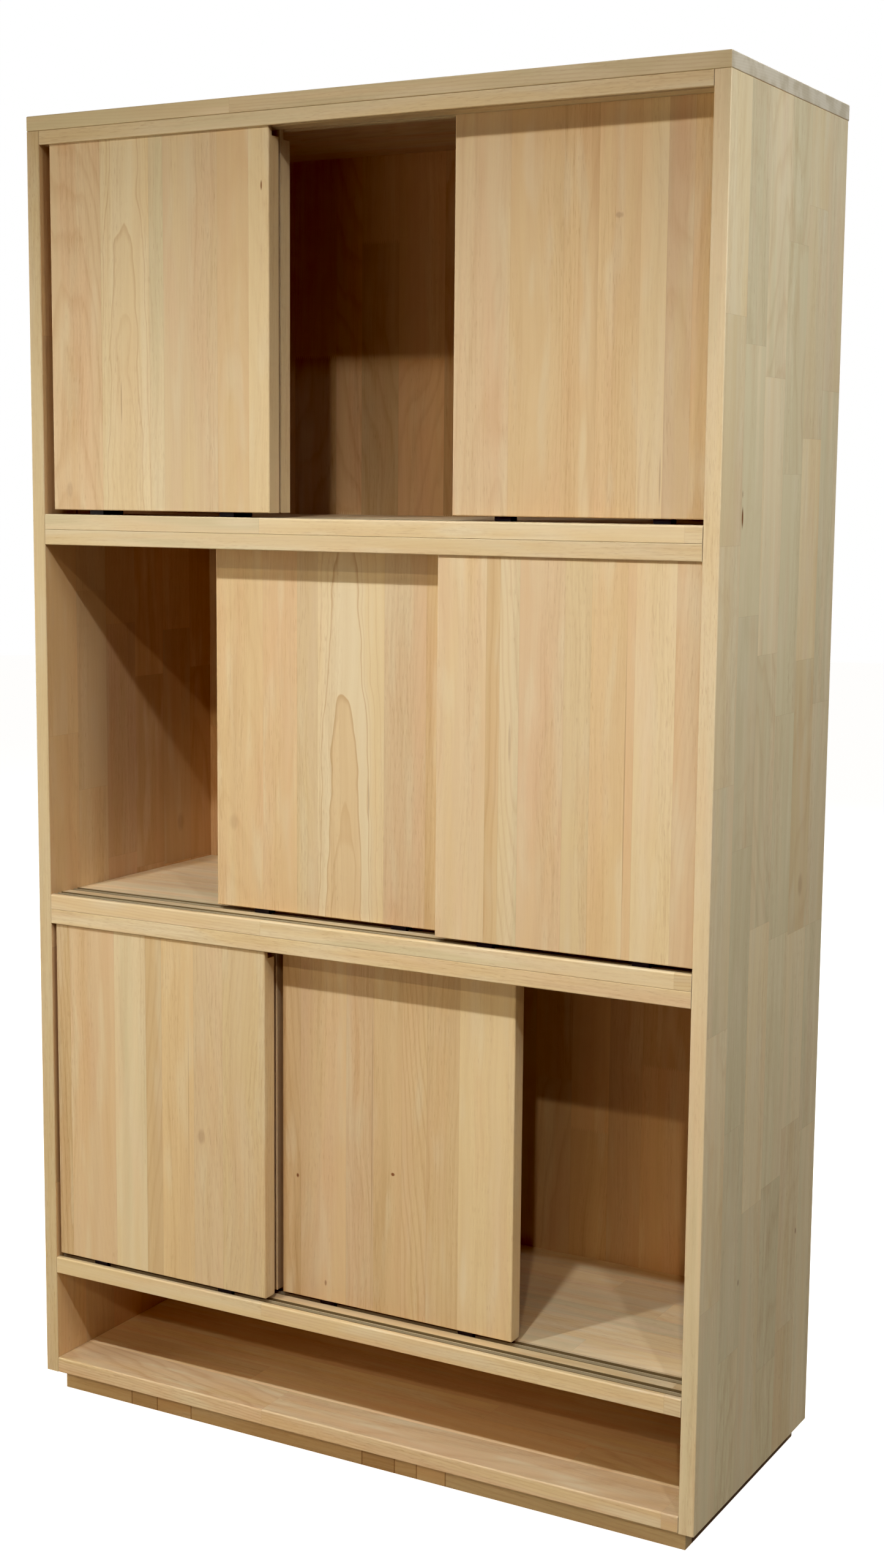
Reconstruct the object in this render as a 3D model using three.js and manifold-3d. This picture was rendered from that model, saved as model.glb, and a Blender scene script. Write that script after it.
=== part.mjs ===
// Bookcase of edge-glued solid wood with three rows of sliding doors and an open niche at the foot.
// Lengths are in millimetres. X runs along the width, Y from the front to the back and Z up.
// The origin is on the floor, under the middle of the case. The front of the case looks along -Y.

import * as THREE from 'three';
import { mergeVertices } from 'three/addons/utils/BufferGeometryUtils.js';
import Module from 'manifold-3d';

// Case: overall width and depth, and the clear heights from the floor up
const caseWidth = 1016;
const caseDepth = 404;
const plinthHeight = 31;
const nicheHeight = 128;
const rowHeight = 490;
const topRowHeight = 492.5;

// Case: the boards
const sideThickness = 21;
const topThickness = 20;
const shelfThickness = 21;
const lowShelfThickness = 24;
const bottomThickness = 22;
const railThickness = 21;
const topRailThickness = 18.5;
const railDepth = 60;
const backThickness = 12;
const backRebateWidth = 9;
const topBackOverhang = 3;
const glueLine = 0.2;
const frontArris = 2.5;
const hiddenArris = 0.6;
const boardArris = 1.5;

// Plinth: a frame of four boards, set in from the front and the sides
const plinthThickness = 21;
const plinthFrontInset = 21;
const plinthSideInset = 19;

// Doors: three to a row, one on the front track and two on the rear track
const doorThickness = 24;
const doorsAcross = 3;
const doorOverlap = 44.5;
const doorSetback = 4;
const doorSpacing = 11.5;
const doorFloorGap = 6;
const doorStopGap = 0.5;
const doorArris = 1.6;

// Tracks: channels with a middle rib, let in flush with the top of a shelf
const trackWidth = 18;
const trackWall = 1.5;
const trackRib = 2;
const trackFloor = 2;
const trackChannelDepth = 3;
const trackFit = 0.2;

// Glides: forked blocks under a door, one prong on each side of the track's rib
const glideLength = 23;
const glideWidth = 16;
const glideTenon = 12;
const glideInset = 70;
const glideFit = 0.2;
const prongSideGap = 0.6;
const prongFloorGap = 0.3;
const ribTopGap = 0.8;

// Tongues: what a rebate leaves standing at the front of a door's top edge. It runs in a groove of the rail,
// and reaches this far above the rail's lower face.
const tongueThickness = 7.5;
const tongueReach = 6;
const tongueSideGap = 0.8;
const rebateDrop = 11;
const railGrooveDepth = 10;

// Extra length of a cutting body, past the face where the cut comes out
const overrun = 2;

// Where each door stands, as a share of its run along the track from the left stop
const topFrontShare = 0.022;
const topRearLeftShare = 0.012;
const topRearRightShare = 1;
const middleFrontShare = 1;
const middleRearLeftShare = 0.417;
const middleRearRightShare = 1;
const bottomFrontShare = 0.007;
const bottomRearLeftShare = 0;
const bottomRearRightShare = 0.588;

// Heights of the boards' lower faces, from the floor up
const bottomZ = plinthHeight;
const nicheZ = bottomZ + bottomThickness;
const lowShelfZ = nicheZ + nicheHeight;
const bottomRowZ = lowShelfZ + lowShelfThickness;
const railTwoZ = bottomRowZ + rowHeight;
const shelfTwoZ = railTwoZ + railThickness;
const middleRowZ = shelfTwoZ + shelfThickness;
const railOneZ = middleRowZ + rowHeight;
const shelfOneZ = railOneZ + railThickness;
const topRowZ = shelfOneZ + shelfThickness;
const topRailZ = topRowZ + topRowHeight;
const topZ = topRailZ + topRailThickness;

// Planes that several pieces share
const frontY = -caseDepth / 2;
const sideBackY = caseDepth / 2 - topBackOverhang;
const backPanelY = sideBackY - backThickness;
const innerWidth = caseWidth - 2 * sideThickness;
const innerLeftX = -innerWidth / 2;
const boardLength = innerWidth - 2 * glueLine;
const boardDepth = backPanelY - glueLine - frontY;

// The doors' size and the two planes that they run in
const doorWidth = (innerWidth + (doorsAcross - 1) * doorOverlap) / doorsAcross;
const doorRun = innerWidth - doorWidth - 2 * doorStopGap;
const frontTrackY = frontY + doorSetback + doorThickness / 2;
const rearTrackY = frontTrackY + doorThickness + doorSpacing;
const trackYs = [frontTrackY, rearTrackY];
const tongueYs = trackYs.map((y) => y - doorThickness / 2 + tongueThickness / 2);

const trackDepth = trackFloor + trackChannelDepth;
const trackGrooveDepth = trackDepth + trackFit;
const railGrooveWidth = tongueThickness + 2 * tongueSideGap;

// Colours as they look on the object
const woodColour = 0xcdb184;
const backColour = 0xc0a06f;
const plinthColour = 0xbf9f6b;
const trackColour = 0x7d735a;
const glideColour = 0x17150f;

const wasm = await Module();
wasm.setup();

const bookcase = new THREE.Group();

// Turns a closed geometry into a solid that can be cut.
function toSolid(geometry) {
  const bare = geometry.clone();
  bare.deleteAttribute('normal');
  bare.deleteAttribute('uv');
  const merged = mergeVertices(bare);
  const vertProperties = new Float32Array(merged.attributes.position.array);
  const triVerts = new Uint32Array(merged.index.array);
  return new wasm.Manifold(new wasm.Mesh({ numProp: 3, vertProperties, triVerts }));
}

// Turns a cut solid back into a geometry.
function toGeometry(solid) {
  const mesh = solid.getMesh();
  const geometry = new THREE.BufferGeometry();
  geometry.setAttribute('position', new THREE.BufferAttribute(new Float32Array(mesh.vertProperties), 3));
  geometry.setIndex(new THREE.BufferAttribute(new Uint32Array(mesh.triVerts), 1));
  geometry.computeVertexNormals();
  return geometry;
}

// Cuts every tool out of a body.
function cut(body, tools) {
  let solid = toSolid(body);
  for (const tool of tools) {
    solid = solid.subtract(toSolid(tool));
  }
  return toGeometry(solid);
}

// A block between two corners.
function block(low, high) {
  const [x, y, z] = high.map((value, axis) => value - low[axis]);
  const geometry = new THREE.BoxGeometry(x, y, z);
  geometry.translate(low[0] + x / 2, low[1] + y / 2, low[2] + z / 2);
  return geometry;
}

// Adds one named piece to the bookcase, at its place.
function addPiece(name, geometry, colour, roughness, position) {
  const material = new THREE.MeshStandardMaterial({ color: colour, roughness, metalness: 0 });
  const piece = new THREE.Mesh(geometry, material);
  piece.name = name;
  piece.position.set(...position);
  bookcase.add(piece);
}

function addWood(name, geometry, position, colour = woodColour) {
  addPiece(name, geometry, colour, 0.5, position);
}

// Extrudes a section drawn in Y and Z along X, centred on X = 0.
function extrudeAlongX(section, length) {
  const geometry = new THREE.ExtrudeGeometry(section, { depth: length, bevelEnabled: false, curveSegments: 3 });
  const alongX = new THREE.Matrix4().makeBasis(
    new THREE.Vector3(0, 1, 0),
    new THREE.Vector3(0, 0, 1),
    new THREE.Vector3(1, 0, 0),
  );
  geometry.applyMatrix4(alongX);
  geometry.translate(-length / 2, 0, 0);
  return geometry;
}

// A flat board with all the edges of its two broad faces eased, lying in X and Y from Z = 0 up.
function easedBoard(length, width, thickness, arris) {
  const outline = new THREE.Shape();
  outline.moveTo(-length / 2, -width / 2);
  outline.lineTo(length / 2, -width / 2);
  outline.lineTo(length / 2, width / 2);
  outline.lineTo(-length / 2, width / 2);
  outline.closePath();
  const geometry = new THREE.ExtrudeGeometry(outline, {
    depth: thickness - 2 * arris,
    bevelEnabled: true,
    bevelThickness: arris,
    bevelSize: arris,
    bevelOffset: -arris,
    bevelSegments: 3,
  });
  geometry.translate(0, 0, arris);
  return geometry;
}

// The section of a shelf or rail in Y and Z, with its front face at Y = 0 and its lower face at Z = 0.
// The grooves lists run from front to back, each groove as its middle and its width.
function boardSection({ depth, thickness, upperArris, lowerArris, upperGrooves, upperGrooveDepth,
  lowerGrooves, lowerGrooveDepth }) {
  const section = new THREE.Shape();
  section.moveTo(0, lowerArris);
  section.absarc(lowerArris, lowerArris, lowerArris, Math.PI, Math.PI * 1.5, false);
  for (const { middle, width } of lowerGrooves) {
    section.lineTo(middle - width / 2, 0);
    section.lineTo(middle - width / 2, lowerGrooveDepth);
    section.lineTo(middle + width / 2, lowerGrooveDepth);
    section.lineTo(middle + width / 2, 0);
  }
  section.lineTo(depth, 0);
  section.lineTo(depth, thickness);
  for (const { middle, width } of [...upperGrooves].reverse()) {
    section.lineTo(middle + width / 2, thickness);
    section.lineTo(middle + width / 2, thickness - upperGrooveDepth);
    section.lineTo(middle - width / 2, thickness - upperGrooveDepth);
    section.lineTo(middle - width / 2, thickness);
  }
  section.absarc(upperArris, thickness - upperArris, upperArris, Math.PI / 2, Math.PI, false);
  section.closePath();
  return section;
}

// Where grooves with these middle lines lie behind the front of a board.
function groovesAt(ys, width) {
  return ys.map((y) => ({ middle: y - frontY, width }));
}

// Side panel: rebated along the inner back edge for the back panel. It looks outward along the given side.
function addSide(name, outward) {
  const outerX = outward * caseWidth / 2;
  const innerX = outward * innerWidth / 2;
  const rebateX = innerX + outward * backRebateWidth;
  const round = boardArris;
  const outline = new THREE.Shape();
  outline.moveTo(innerX + outward * round, frontY);
  outline.lineTo(outerX - outward * round, frontY);
  outline.quadraticCurveTo(outerX, frontY, outerX, frontY + round);
  outline.lineTo(outerX, sideBackY - round);
  outline.quadraticCurveTo(outerX, sideBackY, outerX - outward * round, sideBackY);
  outline.lineTo(rebateX, sideBackY);
  outline.lineTo(rebateX, backPanelY - glueLine);
  outline.lineTo(innerX, backPanelY - glueLine);
  outline.lineTo(innerX, frontY + round);
  outline.quadraticCurveTo(innerX, frontY, innerX + outward * round, frontY);
  const height = topZ - glueLine - plinthHeight;
  const geometry = new THREE.ExtrudeGeometry(outline, { depth: height, bevelEnabled: false, curveSegments: 3 });
  addWood(name, geometry, [0, 0, plinthHeight]);
}

// Top board: laid over the sides, flush with their front and outer faces and a little past their back.
function addTop() {
  const geometry = easedBoard(caseWidth, caseDepth, topThickness, boardArris);
  addWood('top_board', geometry, [0, 0, topZ]);
}

// Rail: a narrow board behind the front edge, with two grooves underneath for the tongues of the doors below.
function addRail(name, z, thickness) {
  const section = boardSection({
    depth: railDepth,
    thickness: thickness - glueLine,
    upperArris: hiddenArris,
    lowerArris: boardArris,
    upperGrooves: [],
    upperGrooveDepth: 0,
    lowerGrooves: groovesAt(tongueYs, railGrooveWidth),
    lowerGrooveDepth: railGrooveDepth,
  });
  addWood(name, extrudeAlongX(section, boardLength), [0, frontY, z]);
}

// Shelf: a full-depth board with two grooves on top that hold the tracks of the doors above.
function addShelf(name, z, thickness, lowerArris) {
  const section = boardSection({
    depth: boardDepth,
    thickness,
    upperArris: frontArris,
    lowerArris,
    upperGrooves: groovesAt(trackYs, trackWidth + 2 * trackFit),
    upperGrooveDepth: trackGrooveDepth,
    lowerGrooves: [],
    lowerGrooveDepth: 0,
  });
  addWood(name, extrudeAlongX(section, boardLength), [0, frontY, z]);
}

// Bottom board: the floor of the open niche, without grooves.
function addBottom() {
  const section = boardSection({
    depth: boardDepth,
    thickness: bottomThickness,
    upperArris: frontArris,
    lowerArris: boardArris,
    upperGrooves: [],
    upperGrooveDepth: 0,
    lowerGrooves: [],
    lowerGrooveDepth: 0,
  });
  addWood('bottom_board', extrudeAlongX(section, boardLength), [0, frontY, bottomZ]);
}

// Back panel: one edge-glued panel in the rebates of the sides, from the bottom board up to the top board.
function addBack() {
  const halfWidth = innerWidth / 2 + backRebateWidth - glueLine;
  const low = [-halfWidth, backPanelY, bottomZ];
  const high = [halfWidth, sideBackY, topZ - glueLine];
  addWood('back_panel', block(low, high), [0, 0, 0], backColour);
}

// Plinth: front and back boards run between the outer faces of the frame, the two sides fit between them.
function addPlinth() {
  const height = plinthHeight - glueLine;
  const outerX = caseWidth / 2 - plinthSideInset;
  const outerFrontY = frontY + plinthFrontInset;
  const innerFrontY = outerFrontY + plinthThickness;
  const innerBackY = sideBackY - plinthThickness;
  const front = block([-outerX, outerFrontY, 0], [outerX, innerFrontY, height]);
  const back = block([-outerX, innerBackY, 0], [outerX, sideBackY, height]);
  addWood('plinth_front', front, [0, 0, 0], plinthColour);
  addWood('plinth_back', back, [0, 0, 0], plinthColour);
  for (const [name, outward] of [['plinth_left', -1], ['plinth_right', 1]]) {
    const faces = [outward * outerX, outward * (outerX - plinthThickness)];
    const low = [Math.min(...faces), innerFrontY + glueLine, 0];
    const high = [Math.max(...faces), innerBackY - glueLine, height];
    addWood(name, block(low, high), [0, 0, 0], plinthColour);
  }
}

// Track: two walls and a middle rib on a thin floor. Its top is flush with the top of the shelf.
function trackSection() {
  const half = trackWidth / 2;
  const channelOuter = half - trackWall;
  const channelInner = trackRib / 2;
  const section = new THREE.Shape();
  section.moveTo(-half, 0);
  section.lineTo(half, 0);
  section.lineTo(half, trackDepth);
  section.lineTo(channelOuter, trackDepth);
  section.lineTo(channelOuter, trackFloor);
  section.lineTo(channelInner, trackFloor);
  section.lineTo(channelInner, trackDepth);
  section.lineTo(-channelInner, trackDepth);
  section.lineTo(-channelInner, trackFloor);
  section.lineTo(-channelOuter, trackFloor);
  section.lineTo(-channelOuter, trackDepth);
  section.lineTo(-half, trackDepth);
  section.closePath();
  return section;
}

function addTracks(rowName, rowZ) {
  const geometry = extrudeAlongX(trackSection(), boardLength);
  const tracks = [['front', frontTrackY], ['rear', rearTrackY]];
  for (const [place, y] of tracks) {
    addPiece(`${rowName}_${place}_track`, geometry.clone(), trackColour, 0.45, [0, y, rowZ - trackDepth]);
  }
}

// Glide: a tenon let into the door's lower edge, and below it two prongs that straddle the track's rib.
// The section is drawn from the middle of the track, with Z = 0 at the door's lower edge.
function glideSection() {
  const half = glideWidth / 2;
  const prongOuter = trackWidth / 2 - trackWall - prongSideGap;
  const prongInner = trackRib / 2 + prongSideGap;
  const slotTopZ = ribTopGap - doorFloorGap;
  const prongTipZ = prongFloorGap - trackChannelDepth - doorFloorGap;
  const section = new THREE.Shape();
  section.moveTo(-half, glideTenon - glideFit);
  section.lineTo(-half, slotTopZ);
  section.lineTo(-prongOuter, slotTopZ);
  section.lineTo(-prongOuter, prongTipZ);
  section.lineTo(-prongInner, prongTipZ);
  section.lineTo(-prongInner, slotTopZ);
  section.lineTo(prongInner, slotTopZ);
  section.lineTo(prongInner, prongTipZ);
  section.lineTo(prongOuter, prongTipZ);
  section.lineTo(prongOuter, slotTopZ);
  section.lineTo(half, slotTopZ);
  section.lineTo(half, glideTenon - glideFit);
  section.closePath();
  return section;
}

// Door slab for a row of this clear height: standing, centred on X and Y, with its lower edge at Z = 0. The top
// edge is rebated behind its tongue along the whole width, and the lower edge has a mortise for each glide.
function doorSlab(clearHeight) {
  const doorHeight = clearHeight - doorFloorGap + tongueReach;
  const slab = easedBoard(doorWidth, doorHeight, doorThickness, doorArris);
  slab.rotateX(Math.PI / 2);
  slab.translate(0, doorThickness / 2, doorHeight / 2);
  const tools = [
    block(
      [-doorWidth / 2 - overrun, tongueThickness - doorThickness / 2, doorHeight - tongueReach - rebateDrop],
      [doorWidth / 2 + overrun, doorThickness / 2 + overrun, doorHeight + overrun],
    ),
  ];
  const halfLength = glideLength / 2 + glideFit;
  const halfWidth = glideWidth / 2 + glideFit;
  for (const x of glideXs()) {
    tools.push(block([x - halfLength, -halfWidth, -overrun], [x + halfLength, halfWidth, glideTenon]));
  }
  return cut(slab, tools);
}

// Places of the two glides along the door, from its middle.
function glideXs() {
  const x = doorWidth / 2 - glideInset;
  return [-x, x];
}

// One door with its two glides, at its share of the run along a track.
function addDoor(name, trackY, rowZ, clearHeight, restShare) {
  const x = innerLeftX + doorStopGap + doorWidth / 2 + restShare * doorRun;
  const z = rowZ + doorFloorGap;
  addWood(`${name}_door`, doorSlab(clearHeight), [x, trackY, z]);
  const glides = [['left', glideXs()[0]], ['right', glideXs()[1]]];
  for (const [side, glideX] of glides) {
    const geometry = extrudeAlongX(glideSection(), glideLength);
    addPiece(`${name}_${side}_glide`, geometry, glideColour, 0.4, [x + glideX, trackY, z]);
  }
}

// One row: two tracks in the shelf below it and three doors.
function addRow(rowName, rowZ, clearHeight, frontShare, rearLeftShare, rearRightShare) {
  addTracks(rowName, rowZ);
  addDoor(`${rowName}_front`, frontTrackY, rowZ, clearHeight, frontShare);
  addDoor(`${rowName}_rear_left`, rearTrackY, rowZ, clearHeight, rearLeftShare);
  addDoor(`${rowName}_rear_right`, rearTrackY, rowZ, clearHeight, rearRightShare);
}

addSide('side_left', -1);
addSide('side_right', 1);
addTop();
addRail('top_rail', topRailZ, topRailThickness);
addShelf('upper_shelf', shelfOneZ, shelfThickness, hiddenArris);
addRail('upper_rail', railOneZ, railThickness);
addShelf('middle_shelf', shelfTwoZ, shelfThickness, hiddenArris);
addRail('middle_rail', railTwoZ, railThickness);
addShelf('lower_shelf', lowShelfZ, lowShelfThickness, boardArris);
addBottom();
addBack();
addPlinth();
addRow('top', topRowZ, topRowHeight, topFrontShare, topRearLeftShare, topRearRightShare);
addRow('middle', middleRowZ, rowHeight, middleFrontShare, middleRearLeftShare, middleRearRightShare);
addRow('bottom', bottomRowZ, rowHeight, bottomFrontShare, bottomRearLeftShare, bottomRearRightShare);

export default bookcase;
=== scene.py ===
import math
import random

import bmesh
import bpy
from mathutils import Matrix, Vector


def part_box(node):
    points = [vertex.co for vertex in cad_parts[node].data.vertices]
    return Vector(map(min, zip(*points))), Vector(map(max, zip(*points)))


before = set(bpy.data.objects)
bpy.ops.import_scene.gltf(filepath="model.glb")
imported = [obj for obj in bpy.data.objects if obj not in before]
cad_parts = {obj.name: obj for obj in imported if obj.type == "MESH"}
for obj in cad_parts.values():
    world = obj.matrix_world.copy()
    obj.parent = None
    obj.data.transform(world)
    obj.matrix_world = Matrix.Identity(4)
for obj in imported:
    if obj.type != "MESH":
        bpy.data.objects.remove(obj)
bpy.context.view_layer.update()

MM = 0.001

# The CAD nodes by what they are made of
RAILS = ["top_rail", "upper_rail", "middle_rail"]
SHELVES = ["upper_shelf", "middle_shelf", "lower_shelf"]
PLINTH = ["plinth_front", "plinth_back", "plinth_left", "plinth_right"]
ROWS = ["top", "middle", "bottom"]
PLACES = ["front", "rear_left", "rear_right"]

# Camera: place in metres, turn in degrees, lens and sensor width in millimetres
CAMERA_PLACE = (1.4565, -2.5509, 1.3116)
CAMERA_TURN = (82.16, -0.505, 29.274)
CAMERA_LENS = 49.656
CAMERA_SENSOR = 36.0

# The wood's tones as reflected light. Neighbours in the list are alike, so a tone may also lie between two.
TONES = {
    "grey": (0.682, 0.590, 0.412),
    "pale": (0.737, 0.620, 0.440),
    "cream": (0.731, 0.602, 0.402),
    "yellow": (0.718, 0.580, 0.374),
    "beige": (0.706, 0.567, 0.390),
    "pink": (0.706, 0.549, 0.374),
    "orange": (0.706, 0.539, 0.348),
    "ochre": (0.706, 0.551, 0.344),
    "tan": (0.685, 0.528, 0.332),
    "brown": (0.635, 0.475, 0.284),
}
TONE_PLACES = {name: index / (len(TONES) - 1) for index, name in enumerate(TONES)}
PALE_CLOUD = (0.735, 0.633, 0.468)
END_GRAIN_DARK = (0.575, 0.495, 0.375)
END_GRAIN_PALE = (0.670, 0.592, 0.478)
# Boards inside the case are paler than their front edges: partly wood less yellowed by light, partly painted
# light that brightens their lit faces past what wood reflects
INSIDE_PALE_AND_LIT = 1.24
# The back and the inner face of the left side are made warmer and darker: partly warmer wood, partly painted
# warm shade inside the case
BACK_WARMTH_AND_SHADE = (0.95, 0.90, 0.81)
LEFT_INSIDE_WARMTH_AND_SHADE = (0.99, 0.89, 0.79)
# The plinth: the tone of the boards that aren't listed piece by piece, and what multiplies each board's
# colour. This darkens the right board and the hidden ones as painted shade under the case
PLINTH_TONE = 0.8
PLINTH_TINT_AND_SHADE = {"plinth_front": (1.0, 0.97, 0.92), "plinth_right": (0.40, 0.36, 0.32)}
HIDDEN_PLINTH_SHADE = (0.7, 0.64, 0.57)

# The staves of the doors that show, from left to right: the right edge in millimetres from the middle of
# the case where the door stands at rest, and the tone
DOOR_STAVES = {
    "top_front": [
        (-388, "pink"), (-308, "cream"), (-285, "pale"), (-199, "beige"), (-150, "ochre"), (-118, "yellow"),
    ],
    "top_rear_right": [
        (210, "beige"), (282, "ochre"), (328, "tan"), (383, "ochre"), (417, "cream"), (450, "beige"),
        (487, "ochre"),
    ],
    "middle_rear_left": [
        (-153, "ochre"), (-99, "orange"), (-67, "yellow"), (35, "cream"), (97, "pink"), (126, "tan"),
    ],
    "middle_front": [
        (202, "beige"), (221, "ochre"), (248, "pale"), (309, "pink"), (345, "yellow"), (392, "ochre"),
        (403, "orange"), (455, "cream"), (487, "pink"),
    ],
    "bottom_front": [
        (-458, "tan"), (-380, "pink"), (-326, "pale"), (-299, "tan"), (-245, "ochre"), (-197, "beige"),
        (-128, "yellow"),
    ],
    "bottom_rear_right": [
        (-93, "brown"), (-21, "orange"), (22, "pink"), (65, "tan"), (103, "orange"), (151, "ochre"),
        (232, "yellow"),
    ],
}

# Marks on the doors: place across and up in millimetres, half width, half length and strength
DOOR_MARKS = {
    "top_front": [(-130, 1689, 1.5, 7, 0.9), (-356, 1420, 1.2, 33, 0.4), (-446, 1302, 7, 12, 0.2)],
    "top_rear_right": [(355, 1631, 6, 4, 0.3), (414, 1320, 1.2, 36, 0.35)],
    "middle_rear_left": [(-201, 859, 9, 12, 0.16), (12, 905, 1.4, 30, 0.35)],
    "middle_front": [(392, 960, 1.0, 190, 0.30), (236, 1000, 2.0, 26, 0.25)],
    "bottom_front": [(-233, 423, 7, 12, 0.3), (-254, 460, 1.0, 150, 0.25)],
    "bottom_rear_right": [
        (-98, 381, 2.3, 3.5, 1.0), (52, 407, 3.4, 2.5, 1.0), (-53, 237, 2.1, 5, 0.6),
        (19.5, 460, 0.9, 190, 0.4),
    ],
}

# The offcuts of the plinth's front, from left to right: the right edge in millimetres, and the tone
PLINTH_PIECES = [
    (-370, "tan"), (-325, "brown"), (-266, "brown"), (17, "tan"), (68, "brown"), (102, "tan"),
    (146, "ochre"), (489, "pale"),
]

# The staves of the side panels, from the front to the back: the far edge in millimetres behind the front,
# and the heights where the pieces of that stave meet
SIDE_STAVES = [
    (66, (315, 660, 960, 1245, 1510)),
    (132, (230, 525, 877, 1160, 1480)),
    (200, (405, 770, 1110, 1445)),
    (268, (170, 418, 745, 1030, 1330, 1610)),
    (336, (200, 480, 740, 1095, 1375, 1660)),
    (404, (460, 740, 1035, 1437)),
]
# The tones of these staves on each side panel, and of its front edge: a place between the tones, and how
# light it is
SIDE_TONES = {
    "side_left": ["yellow", "cream", "orange", "brown", "ochre", "brown"],
    "side_right": ["pale", "grey", "pale", "grey", "cream", "pale"],
}
SIDE_EDGES = {"side_left": (0.3, 0.86), "side_right": (0.15, 1.0)}
# Marks on the sides: place behind the front and up in millimetres, half width, half length and strength
SIDE_MARKS = [
    (70, 1278, 3.2, 14, 1.0), (69, 1305, 1.4, 5, 0.7), (310, 800, 10, 16, 0.22), (335, 322, 3, 5, 0.6),
    (127, 317, 3, 5, 0.5),
]
# The case's front, and how far behind it a side's front lamella begins and has ended
FRONT_Y = -0.202
FRONT_EDGE = (0.6 * MM, 1.4 * MM)

# The tones of the rails, and of the shelves' front edges, from the top down
RAIL_TONES = ["pale", "cream", "cream"]
SHELF_EDGE_TONES = ["pale", "pale", "cream"]

# Staves by chance: their width in metres, how uneven it is, and their tones on the doors that hardly show
# and on the back
STAVE_WIDTH = 0.055
STAVE_PLAY = 0.2
HIDDEN_DOOR_TONES = (0.2, 0.85)
BACK_STAVE_WIDTH = 0.058
BACK_TONES = (0.3, 1.0)

# Eased edges: their radius, how near points are welded first, and the least angle of an edge in degrees
EASED_EDGE = 0.8 * MM
WELD_REACH = 0.01 * MM
SHARP_ANGLE = 40

# Joints: half the width of a glue line and of the plinth's dark ones, the fingers of a finger joint, and how
# much a line between staves shows
JOINT_HALF_WIDTH = 0.3 * MM
PLINTH_JOINT_HALF_WIDTH = 0.8 * MM
FINGER_HALF_PITCH = 1.8 * MM
FINGER_LENGTH = 6 * MM
JOINT_SHARE = 0.18
GLUE_SHADE = (0.62, 0.50, 0.38)
GLUE_RELIEF = -1.6

# Pieces that are cut by chance: how far the cuts of neighbouring staves lie apart, how uneven the lengths
# are, the least change that counts as a cut, and the spread of the pieces' numbers
CUT_SHIFT = 17.31
CUT_PLAY = 0.75
CUT_CHANGE = 0.001
PIECE_NUMBERS = 53.0

# The wood's figure is noise: how often each thing changes in a metre, along the grain and across it
SLOW_WAVE = (3.0, 9.0)
RIPPLE = (9.0, 60.0)
TONE_DRIFT = (2.4, 34.0)
CLOUDS = (7.0, 45.0)
BLUSH = (4.0, 28.0)
THICKNESS = (1.3, 24.0)
STREAKS = (1.6, 75.0)
FIBRES = (9.0, 380.0)
PORES = (70.0, 1600.0)

# Where in its noise each thing begins and is in full, and how much it shows there
CLOUD_SPAN = (0.52, 0.72)
BLUSH_SPAN = (0.48, 0.72)
BLUSH_SHIFT = (7.0, 3.0, 5.0)
THICK_SPAN = (0.38, 0.62)
THIN = 0.15
STREAK_SPAN = (0.34, 0.72)
STREAK_SHARE = 0.4
FIBRE_SPAN = (0.44, 0.68)
FIBRE_SHARE = 0.38
PORE_SPAN = (0.64, 0.74)
PORE_SHARE = 0.3

# What each thing multiplies the wood's colour by
BLUSH_SHADE = (1.0, 0.97, 0.965)
STREAK_SHADE = (0.91, 0.86, 0.79)
RING_SHADE = (0.80, 0.68, 0.55)
FIBRE_SHADE = (0.86, 0.79, 0.70)
PORE_SHADE = (0.66, 0.53, 0.41)
MARK_SHADE = (0.40, 0.23, 0.13)
ARC_SHADE = (0.80, 0.70, 0.60)

# Growth rings: their width, how dark they are on the way through one, how far the pith lies beside the stave
# and behind the face, how much it leans, and how much slow waves and ripples bend the rings and the grain
RING_WIDTH = 4.2 * MM
RING_STOPS = [(0.0, (0.2,) * 3), (0.5, (0.05,) * 3), (0.86, (1.0,) * 3), (1.0, (0.2,) * 3)]
PITH_ASIDE = 0.09
PITH_DEPTH = (0.29, 0.36)
PITH_LEAN = 0.05
RING_BEND = 0.022
RING_RIPPLE = 0.003
WAVER = 0.03

# A piece's numbers shift its pattern this far, and its lightness plays about this one
PATTERN_SHIFT = 31.0
PIECE_LIGHT = 1.015

# End grain: how deep it reaches, its blotches in a metre, half the width of its arcs, and how much they show
END_DEPTH = 0.3 * MM
END_BLOTCHES = 32.0
BLOTCH_SPAN = (0.4, 0.6)
ARC_HALF_WIDTH = 1.6 * MM
ARC_SHARE = 0.25

# How frayed the marks are, and where they fade, as a share of their size
MARK_FRAY = 0.7
MARK_EDGE = (0.75, 1.5)

# The lacquer's roughness and the relief, and what fibres and pores add to both
WOOD_ROUGHNESS = 0.38
FIBRE_ROUGHNESS = 0.16
PORE_ROUGHNESS = 0.2
WOOD_RELIEF = 0.12 * MM
FIBRE_RELIEF = 0.5
PORE_RELIEF = -0.6

# Flame figures: the stave's number, how far the tip lies across and up in millimetres, and the strength
FLAMES = {"middle_rear_left": (3, -25, 1042, 1.0), "top_front": (1, -350, 1655, 0.4)}
# How far its pith lies behind the face at the tip, and how fast that grows upward
FLAME_DEPTH = 62.6 * MM
FLAME_LEAN = 0.018
# Its dark rings: how far each lies outside the one that makes the tip, in millimetres, and its strength
FLAME_RINGS = [(-3.5, 0.35), (0.0, 0.9), (6.5, 0.8), (8.6, 0.3), (13.0, 0.35), (19.0, 0.3)]
# How its tip is blunted, from below it to above it, how far its outlines stray, and their changes in a metre
FLAME_TIP = (-40 * MM, 30 * MM)
FLAME_BLUNTNESS = 1.3 * MM
FLAME_WOBBLE = 5 * MM
FLAME_RIPPLE = 2.4 * MM
WOBBLE = (15.0, 22.0)
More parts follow.
